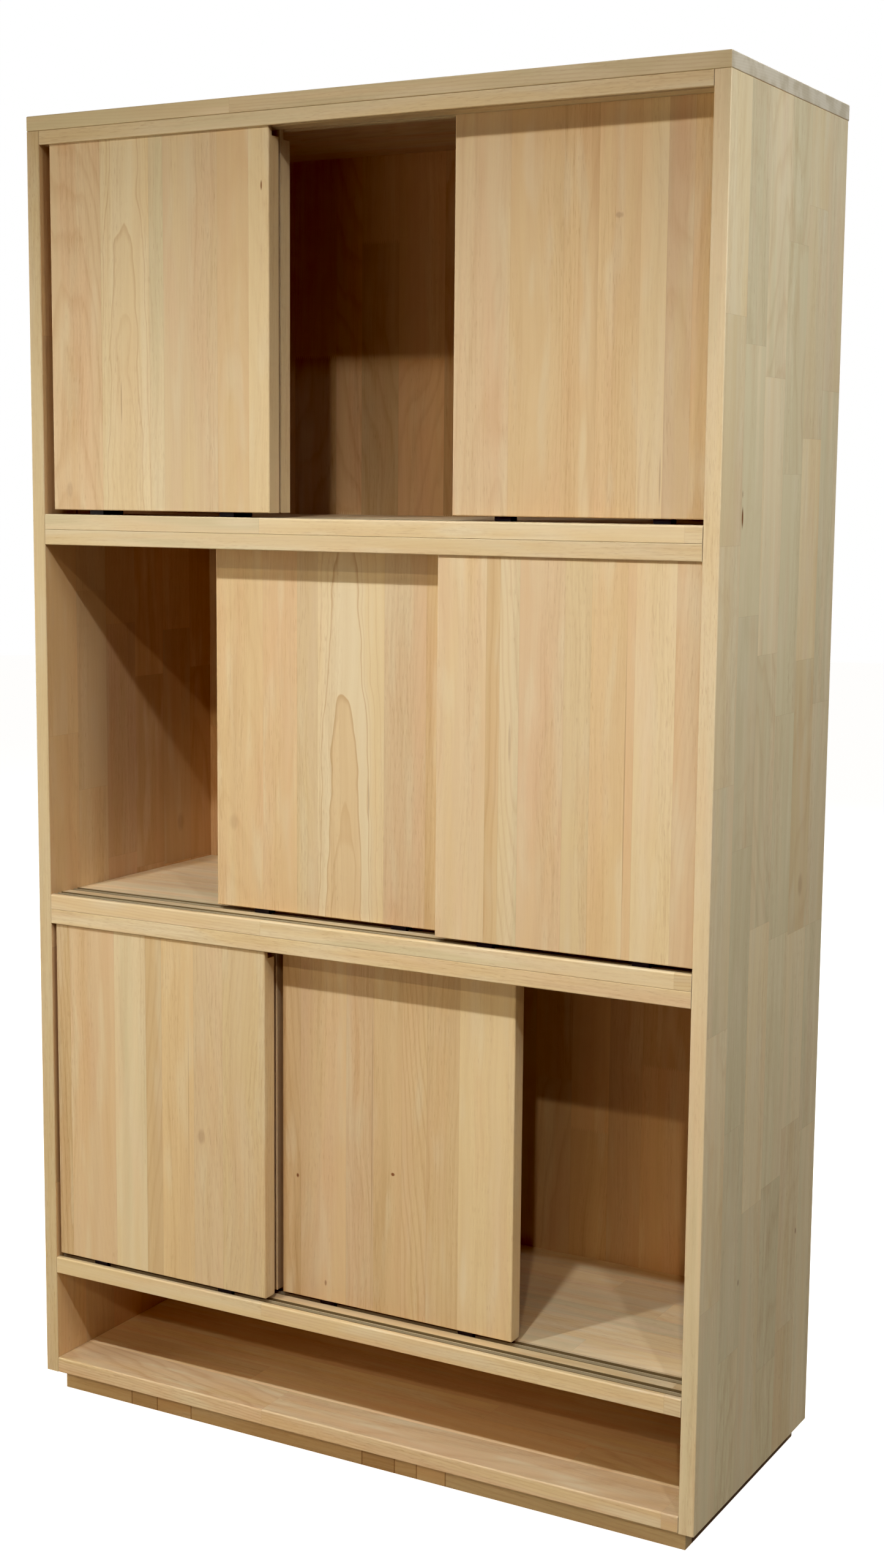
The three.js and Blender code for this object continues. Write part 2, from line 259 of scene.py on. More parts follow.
# How its pale ground, its tongue and an outline fade at their edges, and how much they show
GROUND_EDGE = (4 * MM, 14 * MM)
GROUND_SHARE = 0.8
TONGUE_EDGE = 0.8 * MM
TONGUE_SHARE = 0.75
OUTLINE_INNER = 0.9 * MM
OUTLINE_OUTER = 0.25 * MM
FAINTEST_OUTLINE = 0.4

# The tracks' plastic: its colours and the tint of its gloss, where the rib ends from its middle, and its
# streaks
TRACK_DARK = (0.185, 0.138, 0.070)
TRACK_PALE = (0.310, 0.240, 0.130)
# The rib's lighter colour is partly scuffing and partly a painted highlight of the rib's lit top
TRACK_SCUFF_AND_HIGHLIGHT = (0.600, 0.520, 0.380)
SCUFF_AND_HIGHLIGHT_SHARE = 0.8
TRACK_GLOSS = (1.0, 0.86, 0.62)
RIB_EDGE = (0.9 * MM, 1.5 * MM)
TRACK_STREAKS = (6.0, 900.0)
TRACK_ROUGHNESS = 0.36
TRACK_RELIEF = 0.1 * MM

# The glides' plastic: its colours, where the wear shows in its noise, and its grain in a metre
GLIDE_BLACK = (0.010, 0.009, 0.008)
GLIDE_WORN = (0.035, 0.032, 0.028)
WEAR = (60.0, 240.0)
WEAR_SPAN = (0.45, 0.8)
GLIDE_GRAIN = 1400.0
GLIDE_ROUGHNESS = 0.32
GLIDE_RELIEF = 0.05 * MM
PLASTIC_ROUGHNESS_PLAY = 0.25

# Studio lamps: three narrow ones hang in a row in front of the case, each with its place along X and its
# power. Two more light the right side and the front edges, and a far one stands high at the front right.
# Places are in metres, powers in watts, and cones and widths in degrees.
LAMPS = {"lamp_left": (-0.63, 105), "lamp_middle": (0.56, 112), "lamp_right": (1.76, 54)}
LAMP_Y = -1.85
LAMP_Z = 2.95
LAMP_TARGET = (0.1, -0.56, 0.0)
LAMP_WHITE = (0.91, 0.98, 1.06)
LAMP_CONE = 76
LAMP_RADIUS = 0.05
SIDE_LAMPS = {
    "side_lamp": ((2.1, 0.3, 3.3), (0.5, 0.12, 1.5), 174, (0.82, 0.93, 1.05)),
    "edge_lamp": ((2.6, -0.9, 2.3), (0.0, -0.2, 0.9), 90, (0.95, 0.94, 0.88)),
}
SIDE_LAMP_CONE = 56
SIDE_LAMP_RADIUS = 0.4
FAR_LAMP_PLACE = (4.0, -9.2, 6.3)
FAR_LAMP_POWER = 0.48
FAR_LAMP_WHITE = (1.0, 0.88, 0.64)
FAR_LAMP_WIDTH = 1.2

# Soft lights: place, target, power, size and colour
SOFT_LIGHTS = {
    "front_fill": ((0.6, -4.5, 0.9), (0.0, 0.0, 0.6), 27, 2.0, (1.0, 0.70, 0.42)),
    "left_fill": ((-3.2, -1.5, 1.3), (0.0, -0.2, 1.0), 48, 1.6, (1.0, 1.0, 0.82)),
    "side_softbox": ((2.6, 1.2, 3.0), (0.5, 0.1, 1.3), 9, 1.5, (0.9, 1.0, 1.0)),
    "back_softbox": ((-0.5, 4.0, 3.5), (-0.3, 0.2, 1.0), 120, 2.5, (0.95, 0.98, 1.0)),
}
ROOM_COLOUR = (1.0, 0.75, 0.52)
ROOM_LIGHT = 0.02

# The picture's gamma and the levels that it prints as black
PICTURE_GAMMA = 0.8
BLACK_LEVEL = (0.016, 0.019, 0.011)

# The stage: the floor and the overexposed one that the camera sees, each as its colour, its glow and its
# height, their radius, and the radius of the white sphere round them
FLOORS = {"floor": ((0.48, 0.45, 0.37), 0.0, -MM), "seen_floor": ((0.5,) * 3, 0.95, 0.0)}
FLOOR_RADIUS = 14.0
BACKDROP_RADIUS = 14.5
BACKDROP_GLOW = 1.0
# The stage's paint: how often it changes in a metre, its darkest places, and its roughness and gloss
PAINT_CHANGES = 3.0
PAINT_DARKEST = 0.97
PAINT_ROUGHNESS = 0.8
PAINT_GLOSS = 0.1


class Shader:
    """The node tree of one material, built up by short calls."""

    def __init__(self, name):
        self.material = bpy.data.materials.new(name)
        self.material.use_nodes = True
        self.tree = self.material.node_tree
        self.surface = self.tree.nodes["Principled BSDF"]

    def feed(self, socket, value):
        """Gives a socket a link from another node, or a plain value."""
        if isinstance(value, bpy.types.NodeSocket):
            self.tree.links.new(value, socket)
        else:
            socket.default_value = value

    def node(self, kind, inputs=None, **settings):
        """Adds a node. The inputs are its sockets' links or values, and the settings its own properties."""
        made = self.tree.nodes.new("ShaderNode" + kind)
        for key, value in settings.items():
            setattr(made, key, value)
        for key, value in (inputs or {}).items():
            self.feed(made.inputs[key], value)
        return made

    def math(self, operation, *values):
        return self.node("Math", dict(enumerate(values)), operation=operation).outputs[0]

    def vector_math(self, operation, *values):
        made = self.node("VectorMath", dict(enumerate(values)), operation=operation)
        return made.outputs["Value" if operation == "LENGTH" else "Vector"]

    def scale(self, vector, factor):
        made = self.node("VectorMath", {"Vector": vector, "Scale": factor}, operation="SCALE")
        return made.outputs["Vector"]

    def combine(self, x, y, z):
        return self.node("CombineXYZ", {0: x, 1: y, 2: z}).outputs[0]

    def split(self, vector):
        return self.node("SeparateXYZ", {0: vector}).outputs

    def span(self, value, low, high, to_low=0.0, to_high=1.0):
        """Maps a value smoothly from one span to another and holds it at the ends."""
        inputs = {0: value, 1: low, 2: high, 3: to_low, 4: to_high}
        return self.node("MapRange", inputs, interpolation_type="SMOOTHSTEP").outputs[0]

    def choose(self, share, first, second):
        """The first number where the share is 0, and the second where it is 1."""
        return self.node("Mix", {0: share, 2: first, 3: second}).outputs[0]

    def mix(self, share, first, second, blend="MIX"):
        inputs = {0: share, 6: first, 7: second}
        return self.node("Mix", inputs, data_type="RGBA", blend_type=blend).outputs[2]

    def shade(self, share, colour, dark):
        """Multiplies a colour by a darker one, as far as the share says."""
        return self.mix(share, colour, (*dark, 1.0), "MULTIPLY")

    def noise(self, vector, detail=2.0):
        return self.node("TexNoise", {"Vector": vector, "Scale": 1.0, "Detail": detail}).outputs[0]

    def stretched(self, vector, changes, detail=2.0):
        """Noise with its own number of changes in a metre, along the grain and across it."""
        along, across = changes
        return self.noise(self.vector_math("MULTIPLY", vector, (along, across, across)), detail)

    def chances(self, code, seed):
        """Three chance values for each code."""
        made = self.node("TexWhiteNoise", {"Vector": code, "W": seed}, noise_dimensions="4D")
        return self.split(made.outputs["Color"])

    def ramp(self, value, stops):
        """A ramp with (place, colour) stops."""
        made = self.node("ValToRGB", {0: value})
        elements = made.color_ramp.elements
        while len(elements) < len(stops):
            elements.new(1.0)
        for element, (place, colour) in zip(elements, stops):
            element.position = place
            element.color = (*colour, 1.0)
        return made.outputs[0]

    def steps(self, position, edges, values):
        """Gives the first value before the first edge, the second from there to the next, and so on."""
        result = values[0]
        for edge, before, after in zip(edges, values, values[1:]):
            passed = self.math("GREATER_THAN", position, edge)
            result = self.math("MULTIPLY_ADD", passed, after - before, result)
        return result

    def lines(self, position, edges, half_width):
        """1 within half a width of any of the edges, and 0 elsewhere."""
        result = 0.0
        for edge in edges:
            near = self.math("COMPARE", position, edge, half_width)
            result = self.math("MAXIMUM", near, result)
        return result

    def bump(self, height, distance):
        made = self.node("Bump", {"Height": height, "Distance": distance})
        self.feed(self.surface.inputs["Normal"], made.outputs[0])


class Wood(Shader):
    """Solid wood, glued up from staves that lie side by side along one axis, with the grain along another."""

    def __init__(self, name, grain, across, seed):
        super().__init__(name)
        self.seed = seed
        axes = dict(zip("XYZ", self.split(self.node("TexCoord").outputs["Object"])))
        self.along = axes[grain]
        self.side = axes[across]
        self.deep = axes[({"X", "Y", "Z"} - {grain, across}).pop()]
        self.piece = 0.0
        self.butt = 0.0

    def lay(self, start, staves):
        """Lays out the staves from a start, each as its far edge in metres and its tone's place."""
        edges = [edge for edge, _ in staves]
        inner = edges[:-1]
        middles = [(low + high) / 2 for low, high in zip([start] + inner, edges)]
        self.number = self.steps(self.side, inner, [float(index) for index in range(len(staves))])
        self.middle = self.steps(self.side, inner, middles)
        self.tone = self.steps(self.side, inner, [tone for _, tone in staves])
        self.joint = self.lines(self.side, inner, JOINT_HALF_WIDTH)

    def cut_by_chance(self, length, fingers=0.0, gap=2 * JOINT_HALF_WIDTH):
        """Cuts each stave into pieces of about one length, joined end to end with fingers this long."""
        place = self.along
        if fingers:
            comb = self.math("PINGPONG", self.side, FINGER_HALF_PITCH)
            place = self.math("MULTIPLY_ADD", comb, fingers / FINGER_HALF_PITCH, place)

        def piece_at(position):
            shift = self.math("MULTIPLY", self.number, CUT_SHIFT)
            count = self.math("MULTIPLY_ADD", position, 1 / length, shift)
            inputs = {"W": count, "Scale": 1.0, "Randomness": CUT_PLAY}
            return self.node("TexVoronoi", inputs, voronoi_dimensions="1D").outputs["Color"]

        here = piece_at(place)
        next_to_it = piece_at(self.math("ADD", place, gap))
        change = self.vector_math("LENGTH", self.vector_math("SUBTRACT", here, next_to_it))
        self.piece = self.math("MULTIPLY", self.split(here)[0], PIECE_NUMBERS)
        self.butt = self.math("GREATER_THAN", change, CUT_CHANGE)

    def cut_at(self, places, half_width=JOINT_HALF_WIDTH):
        """Cuts each stave where the list for it says."""
        for index, cuts in enumerate(places):
            here = self.math("COMPARE", self.number, float(index), 0.5)
            count = self.steps(self.along, cuts, [float(number) for number in range(len(cuts) + 1)])
            butt = self.lines(self.along, cuts, half_width)
            self.piece = self.math("MULTIPLY_ADD", here, count, self.piece)
            self.butt = self.math("MULTIPLY_ADD", here, butt, self.butt)

    def grow(self, tone_play, ring_shares, flame=None, light_play=0.035, cloud_share=0.5, drift_play=0.5):
        """Gives every piece its own tone, growth rings, streaks, fibres and pores.
        tone_play is how far a piece's tone may lie from its stave's, ring_shares the least and most that its
        rings show, light_play how much lighter or darker than the others a piece may be, cloud_share how
        much the pale clouds show, and drift_play how far the tone may drift within a piece. flame is one of
        FLAMES."""
        code = self.combine(self.number, self.piece, 0.0)
        tone_chance, turn_chance, share_chance = self.chances(code, self.seed)
        lean_chance, depth_chance, light_chance = self.chances(code, self.seed + 0.5)
        shift = self.scale(self.combine(tone_chance, turn_chance, lean_chance), PATTERN_SHIFT)
        local = self.vector_math("ADD", self.combine(self.along, self.side, self.deep), shift)
        slow = self.stretched(local, SLOW_WAVE)
        ripple = self.stretched(local, RIPPLE)

        # Growth rings round a pith that lies behind or beside the stave and runs a little askew. Few pieces
        # show them strongly.
        side = self.math("SUBTRACT", self.side, self.middle)
        side = self.math("ADD", side, self.span(turn_chance, 0.0, 1.0, -PITH_ASIDE, PITH_ASIDE))
        lean = self.span(lean_chance, 0.0, 1.0, -PITH_LEAN, PITH_LEAN)
        depth = self.math("ADD", self.deep, self.span(depth_chance, 0.0, 1.0, *PITH_DEPTH))
        self.depth = depth
        depth = self.math("MULTIPLY_ADD", self.along, lean, depth)
        share = self.span(self.math("POWER", share_chance, 2.0), 0.0, 1.0, *ring_shares)
        depth = self.math("MULTIPLY_ADD", self.math("SUBTRACT", slow, 0.5), RING_BEND, depth)
        radius = self.vector_math("LENGTH", self.combine(side, depth, 0.0))
        radius = self.math("MULTIPLY_ADD", self.math("SUBTRACT", ripple, 0.5), RING_RIPPLE, radius)
        ring = self.math("FRACT", self.math("MULTIPLY", radius, 1 / RING_WIDTH))
        ring = self.math("MULTIPLY", self.ramp(ring, RING_STOPS), share)

        # Tone: the stave's, with soft drifts to its neighbours on the list, pale clouds and a pink blush
        drift = self.stretched(local, TONE_DRIFT)
        tone = self.math("MULTIPLY_ADD", self.math("SUBTRACT", tone_chance, 0.5), 2 * tone_play, self.tone)
        tone = self.math("MULTIPLY_ADD", self.math("SUBTRACT", drift, 0.5), drift_play, tone)
        colour = self.ramp(tone, [(place, TONES[name]) for name, place in TONE_PLACES.items()])
        clouds = self.stretched(local, CLOUDS, 1.0)
        colour = self.mix(self.span(clouds, *CLOUD_SPAN, 0.0, cloud_share), colour, (*PALE_CLOUD, 1.0))
        blush = self.stretched(self.vector_math("ADD", local, BLUSH_SHIFT), BLUSH, 1.0)
        colour = self.shade(self.span(blush, *BLUSH_SPAN), colour, BLUSH_SHADE)
        if flame:
            ring, colour = self.flame(flame, ring, colour, ripple)

        # Streaks, rings, fibres and pores, all wavering a little, thick in some places and thin in others
        waver = self.scale(self.combine(0.0, self.math("SUBTRACT", slow, 0.5), 0.0), WAVER)
        wavy = self.vector_math("ADD", local, waver)
        thick = self.span(self.stretched(wavy, THICKNESS), *THICK_SPAN, THIN, 1.0)
        streaks = self.stretched(wavy, STREAKS, 4.0)
        colour = self.shade(self.span(streaks, *STREAK_SPAN, 0.0, STREAK_SHARE), colour, STREAK_SHADE)
        colour = self.shade(ring, colour, RING_SHADE)
        self.fibres = self.stretched(wavy, FIBRES, 3.0)
        fibre_share = self.math("MULTIPLY", thick, self.span(self.fibres, *FIBRE_SPAN, 0.0, FIBRE_SHARE))
        colour = self.shade(fibre_share, colour, FIBRE_SHADE)
        pores = self.stretched(wavy, PORES, 0.0)
        self.pores = self.math("MULTIPLY", thick, self.span(pores, *PORE_SPAN))
        colour = self.shade(self.math("MULTIPLY", self.pores, PORE_SHARE), colour, PORE_SHADE)
        light = self.span(light_chance, 0.0, 1.0, PIECE_LIGHT - light_play, PIECE_LIGHT + light_play)
        self.colour = self.scale(colour, light)

    def flame(self, place, ring, colour, ripple):
        """Puts a flame figure into one stave: a tan tongue, a pale ground and a few dark outlines."""
        number, tip_side, tip_along, strength = place
        here = self.math("COMPARE", self.number, float(number), 0.5)
        rise = self.math("SUBTRACT", self.along, tip_along * MM)
        side = self.math("SUBTRACT", self.side, tip_side * MM)
        depth = self.math("MULTIPLY_ADD", rise, FLAME_LEAN, FLAME_DEPTH)
        blunt_tip = self.span(rise, *FLAME_TIP, -FLAME_BLUNTNESS, FLAME_BLUNTNESS)
        radius = self.vector_math("LENGTH", self.combine(side, self.math("ADD", depth, blunt_tip), 0.0))
        wobble = self.stretched(self.combine(self.along, self.side, 0.0), WOBBLE, 1.0)
        radius = self.math("MULTIPLY_ADD", self.math("SUBTRACT", wobble, 0.5), FLAME_WOBBLE, radius)
        radius = self.math("MULTIPLY_ADD", self.math("SUBTRACT", ripple, 0.5), FLAME_RIPPLE, radius)
        ground_edge = [FLAME_DEPTH + offset for offset in GROUND_EDGE]
        ground = self.span(radius, *ground_edge, GROUND_SHARE * strength, 0.0)
        colour = self.mix(self.math("MULTIPLY", ground, here), colour, (*PALE_CLOUD, 1.0))
        tongue = self.span(radius, FLAME_DEPTH - TONGUE_EDGE, FLAME_DEPTH, TONGUE_SHARE * strength, 0.0)
        colour = self.mix(self.math("MULTIPLY", tongue, here), colour, (*TONES["tan"], 1.0))
        outline = 0.0
        outline_share = FAINTEST_OUTLINE + (1 - FAINTEST_OUTLINE) * strength
        for offset, darkness in FLAME_RINGS:
            edge = FLAME_DEPTH + offset * MM
            inner = self.span(radius, edge - OUTLINE_INNER, edge, 0.0, darkness * outline_share)
            outer = self.span(radius, edge, edge + OUTLINE_OUTER, 1.0, 0.0)
            outline = self.math("MULTIPLY_ADD", inner, outer, outline)
        return self.choose(here, ring, outline), colour

    def mark(self, side, along, half_width, half_length, strength):
        """A knot, smudge or dark line. Lengths are in millimetres."""
        across = self.math("MULTIPLY", self.math("SUBTRACT", self.side, side * MM), 1 / (half_width * MM))
        up = self.math("MULTIPLY", self.math("SUBTRACT", self.along, along * MM), 1 / (half_length * MM))
        distance = self.vector_math("LENGTH", self.combine(across, up, 0.0))
        frayed = self.math("MULTIPLY_ADD", self.fibres, MARK_FRAY, distance)
        share = self.span(frayed, *MARK_EDGE, strength, 0.0)
        self.colour = self.shade(share, self.colour, MARK_SHADE)

    def end_grain(self, low, high):
        """Greys both ends of a board, with the blotches and the arcs of rings that sawn end grain shows."""
        from_middle = self.math("ABSOLUTE", self.math("SUBTRACT", self.along, (low + high) / 2))
        end = self.math("GREATER_THAN", from_middle, (high - low) / 2 - END_DEPTH)
        across = self.combine(0.0, self.side, self.deep)
        blotches = self.span(self.noise(self.scale(across, END_BLOTCHES)), *BLOTCH_SPAN)
        radius = self.vector_math("LENGTH", self.combine(self.side, self.depth, 0.0))
        arcs = self.math("PINGPONG", radius, ARC_HALF_WIDTH)
        colour = self.mix(blotches, (*END_GRAIN_DARK, 1.0), (*END_GRAIN_PALE, 1.0))
        colour = self.shade(self.math("MULTIPLY", arcs, ARC_SHARE / ARC_HALF_WIDTH), colour, ARC_SHADE)
        self.colour = self.mix(end, self.colour, colour)

    def finish(self, butt_share=0.2):
        """Draws the glue lines and sets the lacquer's gloss and the relief."""
        joint = self.math("MULTIPLY", self.joint, JOINT_SHARE)
        joint = self.math("MULTIPLY_ADD", self.butt, butt_share, joint)
        self.feed(self.surface.inputs["Base Color"], self.shade(joint, self.colour, GLUE_SHADE))
        rough = self.math("MULTIPLY_ADD", self.fibres, FIBRE_ROUGHNESS, WOOD_ROUGHNESS)
        rough = self.math("MULTIPLY_ADD", self.pores, PORE_ROUGHNESS, rough)
        self.feed(self.surface.inputs["Roughness"], rough)
        height = self.math("MULTIPLY", self.fibres, FIBRE_RELIEF)
        height = self.math("MULTIPLY_ADD", self.pores, PORE_RELIEF, height)
        self.bump(self.math("MULTIPLY_ADD", joint, GLUE_RELIEF, height), WOOD_RELIEF)
        return self.material


def chance_staves(seed, low, high, width, tones):
    """Staves of about one width that fill a span, with tones by chance between two places on the list."""
    chance = random.Random(seed)
    count = max(1, round((high - low) / width))
    places = [index + 1 + chance.uniform(-STAVE_PLAY, STAVE_PLAY) for index in range(count - 1)]
    edges = [low + place * (high - low) / count for place in places]
    return [(edge, chance.uniform(*tones)) for edge in edges + [high]]


def door_wood(door, seed):
    """Staves as they stand in the photograph where a door shows, and staves by chance on the others."""
    low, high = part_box(door + "_door")
    made = Wood(door + "_wood", "Z", "X", seed)
    if door in DOOR_STAVES:
        staves = [(edge * MM, TONE_PLACES[tone]) for edge, tone in DOOR_STAVES[door]]
    else:
        staves = chance_staves(seed, low.x, high.x, STAVE_WIDTH, HIDDEN_DOOR_TONES)
    made.lay(low.x, staves)
    made.grow(tone_play=0.02, ring_shares=(0.06, 0.42), flame=FLAMES.get(door))
    for mark in DOOR_MARKS.get(door, []):
        made.mark(*mark)
    return made.finish()


def side_wood(node, seed, light_play):
    """A side panel: staves that are cut into pieces, and one whole lamella along the front edge."""
    low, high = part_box(node)
    made = Wood(node + "_wood", "Z", "Y", seed)
    tones = [TONE_PLACES[tone] for tone in SIDE_TONES[node]]
    made.lay(FRONT_Y, [(FRONT_Y + edge * MM, tone) for (edge, _), tone in zip(SIDE_STAVES, tones)])
    made.cut_at([[height * MM for height in heights] for _, heights in SIDE_STAVES])
    on_front = made.span(made.side, *[FRONT_Y + offset for offset in FRONT_EDGE], 1.0, 0.0)
    inward = made.math("SUBTRACT", 1.0, on_front)
    # The front lamella isn't cut, and has a tone and lightness of its own
    made.piece = made.math("MULTIPLY", made.piece, made.math("ROUND", inward))
    made.butt = made.math("MULTIPLY", made.butt, inward)
    edge_tone, edge_light = SIDE_EDGES[node]
    made.tone = made.choose(on_front, made.tone, edge_tone)
    made.grow(tone_play=0.08, ring_shares=(0.03, 0.35), light_play=light_play)
    made.colour = made.scale(made.colour, made.choose(on_front, 1.0, edge_light))
    # The left side's inner face is made warmer and darker: partly warmer wood, partly painted warm shade
    # inside the case
    if node == "side_left":
        inside = made.span(made.deep, low.x + MM, high.x - MM)
        made.colour = made.shade(made.math("MULTIPLY", inside, inward), made.colour, LEFT_INSIDE_WARMTH_AND_SHADE)
    for side, along, *rest in SIDE_MARKS:
        made.mark(side + FRONT_Y / MM, along, *rest)
    return made.finish()


def board_wood(node, seed, front_width, front_tone, other_tones=(), piece=None, inside_pale_and_lit=1.0):
    """A lying board with its grain along X. A wide stave comes first, so its front edge shows no joint. The
    others have tones by chance between two, pieces of about one length, and a lightness of their own."""
    low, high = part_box(node)
    made = Wood(node + "_wood", "X", "Y", seed)
    front = (low.y + front_width, TONE_PLACES[front_tone])
    others = chance_staves(seed, front[0], high.y, STAVE_WIDTH, other_tones) if other_tones else []
    made.lay(low.y, [front] + others)
    if piece:
        made.cut_by_chance(piece)
    made.grow(tone_play=0.05, ring_shares=(0.1, 0.5), cloud_share=0.85, drift_play=1.1)
    # The staves behind the front one are made paler: partly paler wood, partly painted light on the faces
    # inside the case
    is_other = made.math("MINIMUM", made.number, 1.0)
    made.colour = made.scale(made.colour, made.choose(is_other, 1.0, inside_pale_and_lit))
    made.end_grain(low.x, high.x)
    return made.finish()


def back_wood():
    """The back: upright staves in short finger-jointed pieces of warmer wood, made warmer and darker still as
    painted shade.
    """
    low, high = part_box("back_panel")
    made = Wood("back_panel_wood", "Z", "X", seed=5.39)
    made.lay(low.x, chance_staves(seed=8, low=low.x, high=high.x, width=BACK_STAVE_WIDTH, tones=BACK_TONES))
    made.cut_by_chance(length=0.5, fingers=FINGER_LENGTH)
    made.grow(tone_play=0.15, ring_shares=(0.05, 0.4), light_play=0.09)
    # Warmer wood, and painted warm shade over the whole back
    made.colour = made.shade(1.0, made.colour, BACK_WARMTH_AND_SHADE)
    return made.finish()


def plinth_wood(node, seed):
    """Offcuts joined end to end, with a dark line at each joint."""
    low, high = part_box(node)
    lengthwise = "X" if high.x - low.x > high.y - low.y else "Y"
    made = Wood(node + "_wood", lengthwise, "Z", seed)
    made.lay(low.z, [(high.z, PLINTH_TONE)])
    if node == "plinth_front":
        joints = [edge * MM for edge, _ in PLINTH_PIECES[:-1]]
        made.cut_at([joints], PLINTH_JOINT_HALF_WIDTH)
        made.tone = made.steps(made.along, joints, [TONE_PLACES[tone] for _, tone in PLINTH_PIECES])
        made.grow(tone_play=0.05, ring_shares=(0.1, 0.5), light_play=0.04)
    else:
        made.cut_by_chance(length=0.11, gap=2 * PLINTH_JOINT_HALF_WIDTH)
        made.grow(tone_play=0.2, ring_shares=(0.1, 0.5), light_play=0.12)
    # Painted shade on the right and hidden boards; the front board's tint is its own colour
    made.colour = made.shade(1.0, made.colour, PLINTH_TINT_AND_SHADE.get(node, HIDDEN_PLINTH_SHADE))
    return made.finish(butt_share=0.9)


def track_plastic(name, middle_y):
    """Olive channel, lighter along its rib: partly scuffed by the doors' glides, partly a painted highlight of
    the rib's lit top.
    """
    made = Shader(name)
    place = made.node("TexCoord").outputs["Object"]
    from_middle = made.math("ABSOLUTE", made.math("SUBTRACT", made.split(place)["Y"], middle_y))
    rib = made.span(from_middle, *RIB_EDGE, 1.0, 0.0)
    streaks = made.stretched(place, TRACK_STREAKS, 3.0)
    colour = made.mix(streaks, (*TRACK_DARK, 1.0), (*TRACK_PALE, 1.0))
    # Scuffing and a painted highlight along the rib
    colour = made.mix(made.math("MULTIPLY", rib, SCUFF_AND_HIGHLIGHT_SHARE), colour, (*TRACK_SCUFF_AND_HIGHLIGHT, 1.0))
    made.feed(made.surface.inputs["Base Color"], colour)
    rough = made.math("MULTIPLY_ADD", streaks, PLASTIC_ROUGHNESS_PLAY, TRACK_ROUGHNESS)
    made.feed(made.surface.inputs["Roughness"], rough)
    made.surface.inputs["Specular Tint"].default_value = (*TRACK_GLOSS, 1.0)
    made.bump(streaks, TRACK_RELIEF)
    return made.material


def black_plastic():
    """Moulded black nylon with a faint grain."""
    made = Shader("black_plastic")
    place = made.node("TexCoord").outputs["Object"]
    grain = made.noise(made.scale(place, GLIDE_GRAIN))
    wear = made.span(made.stretched(place, WEAR), *WEAR_SPAN)
    made.feed(made.surface.inputs["Base Color"], made.mix(wear, (*GLIDE_BLACK, 1.0), (*GLIDE_WORN, 1.0)))
    rough = made.math("MULTIPLY_ADD", grain, PLASTIC_ROUGHNESS_PLAY, GLIDE_ROUGHNESS)
    made.feed(made.surface.inputs["Roughness"], rough)
    made.bump(grain, GLIDE_RELIEF)
    return made.material


def dress(node, material):
    """Gives a CAD node its material, in its own slots."""
    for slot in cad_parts[node].material_slots:
        slot.link = "OBJECT"
        slot.material = material


def ease_edges(node):
    """Sands the sharp edges of a CAD node round. Its faces come in apart, so they are welded first."""
    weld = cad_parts[node].modifiers.new("weld", "WELD")
    weld.merge_threshold = WELD_REACH
    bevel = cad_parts[node].modifiers.new("eased_edges", "BEVEL")
    bevel.width = EASED_EDGE
    bevel.segments = 2
    bevel.limit_method = "ANGLE"
    bevel.angle_limit = math.radians(SHARP_ANGLE)


def dress_case():
    dress("side_left", side_wood("side_left", seed=7.43, light_play=0.1))
    dress("side_right", side_wood("side_right", seed=3.17, light_play=0.05))
    dress("top_board", board_wood(
        "top_board", seed=2.71, front_width=0.07, front_tone="grey", other_tones=(0.3, 0.7), piece=0.8,
    ))
    dress("bottom_board", board_wood(
        "bottom_board", seed=19.3, front_width=0.07, front_tone="pink", other_tones=(0.3, 0.6), piece=0.6,
        inside_pale_and_lit=INSIDE_PALE_AND_LIT,
    ))
    dress("back_panel", back_wood())
    for index, (node, tone) in enumerate(zip(RAILS, RAIL_TONES)):
        dress(node, board_wood(node, seed=11.3 + index, front_width=0.0599, front_tone=tone))
    for index, (node, tone) in enumerate(zip(SHELVES, SHELF_EDGE_TONES)):
        dress(node, board_wood(
            node, seed=15.3 + index, front_width=0.065, front_tone=tone, other_tones=(0.0, 0.3), piece=0.6,
            inside_pale_and_lit=INSIDE_PALE_AND_LIT,
        ))
    for index, node in enumerate(PLINTH):
        dress(node, plinth_wood(node, seed=23.1 + index))


def dress_doors():
    black = black_plastic()
    for row_index, row in enumerate(ROWS):
        for place_index, place in enumerate(PLACES):
            door = f"{row}_{place}"
            dress(door + "_door", door_wood(door, seed=31.7 + len(PLACES) * row_index + place_index))
            for part in ("left_glide", "right_glide"):
                dress(f"{door}_{part}", black)


def dress_tracks():
    for place in ("front", "rear"):
        low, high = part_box(f"top_{place}_track")
        plastic = track_plastic(f"{place}_track_plastic", (low.y + high.y) / 2)
        for row in ROWS:
            dress(f"{row}_{place}_track", plastic)


def ease_wood():
    for node in ["side_left", "side_right", "top_board", "bottom_board"] + RAILS + SHELVES + PLINTH:
        ease_edges(node)
    for row in ROWS:
        for place in PLACES:
            ease_edges(f"{row}_{place}_door")


def add_camera():
    data = bpy.data.cameras.new("camera")
    data.lens = CAMERA_LENS
    data.sensor_width = CAMERA_SENSOR
    camera = bpy.data.objects.new("camera", data)
    camera.location = CAMERA_PLACE
    camera.rotation_euler = [math.radians(turn) for turn in CAMERA_TURN]
    bpy.context.scene.collection.objects.link(camera)
    bpy.context.scene.camera = camera


def add_light(name, kind, place, target, power, colour, **settings):
    """A light at a place, looking at a target. Both are in metres."""
    data = bpy.data.lights.new(name, kind)
    data.energy = power
    data.color = colour
    for key, value in settings.items():
        setattr(data, key, value)
    light = bpy.data.objects.new(name, data)
    light.location = place
    away = Vector(place) - Vector(target)
    light.rotation_euler = away.to_track_quat("Z", "Y").to_euler()
    bpy.context.scene.collection.objects.link(light)
    return light


